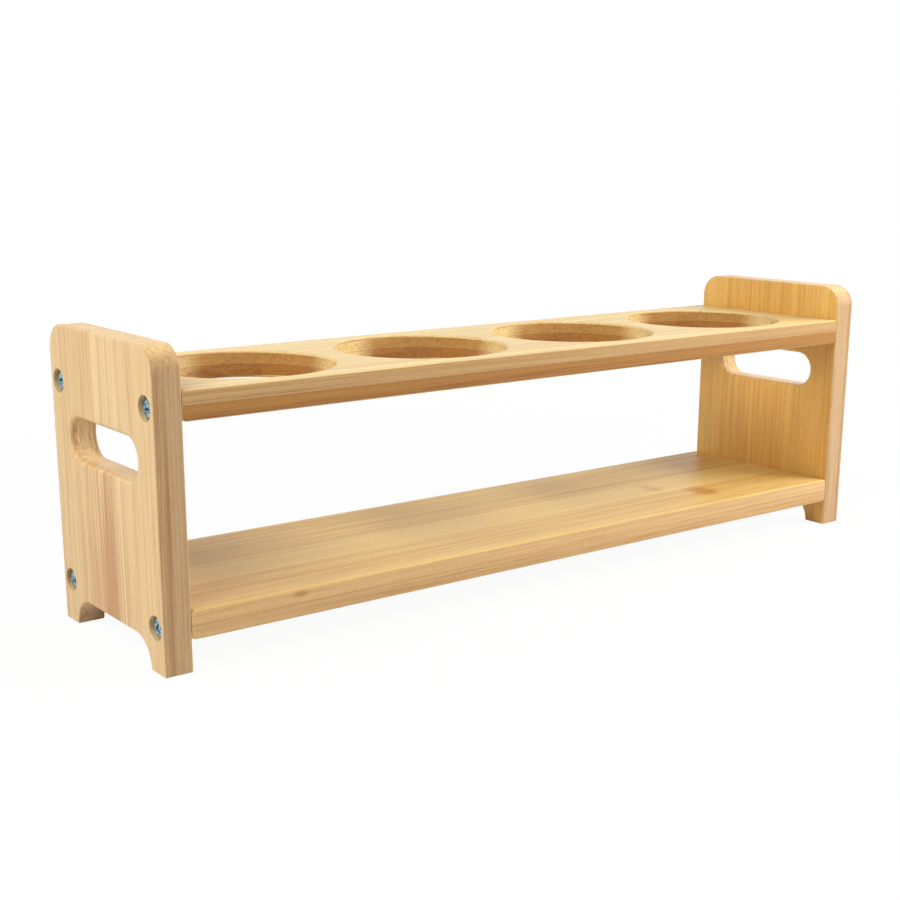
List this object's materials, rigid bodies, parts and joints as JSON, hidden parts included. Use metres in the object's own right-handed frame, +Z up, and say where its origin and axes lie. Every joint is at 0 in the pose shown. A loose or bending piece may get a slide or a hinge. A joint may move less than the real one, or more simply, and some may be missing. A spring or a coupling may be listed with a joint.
{
  "type": "seasoning bottle rack",
  "caption": "Bamboo rack with a row of round bottle holes above a shelf board, both boards screwed between end panels that have hand slots and arched feet.",
  "frame": {"origin": "on the floor under the middle of the rack", "axes": "+X along the row of bottle holes, to the right seen from the front; +Y from front to back; +Z up"},
  "size_m": [0.4252, 0.1, 0.1347],
  "materials": {
    "panel_bamboo": "satin",
    "board_bamboo": "satin",
    "zinc_steel": "blue-white zinc plate"
  },
  "bodies": {
    "root": {"bottle_board": "board_bamboo", "shelf_board": "board_bamboo", "left_end_panel": "panel_bamboo", "right_end_panel": "panel_bamboo", "left_top_front_screw": "zinc_steel", "left_top_back_screw": "zinc_steel", "left_shelf_front_screw": "zinc_steel", "left_shelf_back_screw": "zinc_steel", "right_top_front_screw": "zinc_steel", "right_top_back_screw": "zinc_steel", "right_shelf_front_screw": "zinc_steel", "right_shelf_back_screw": "zinc_steel"}
  },
  "joints": []
}
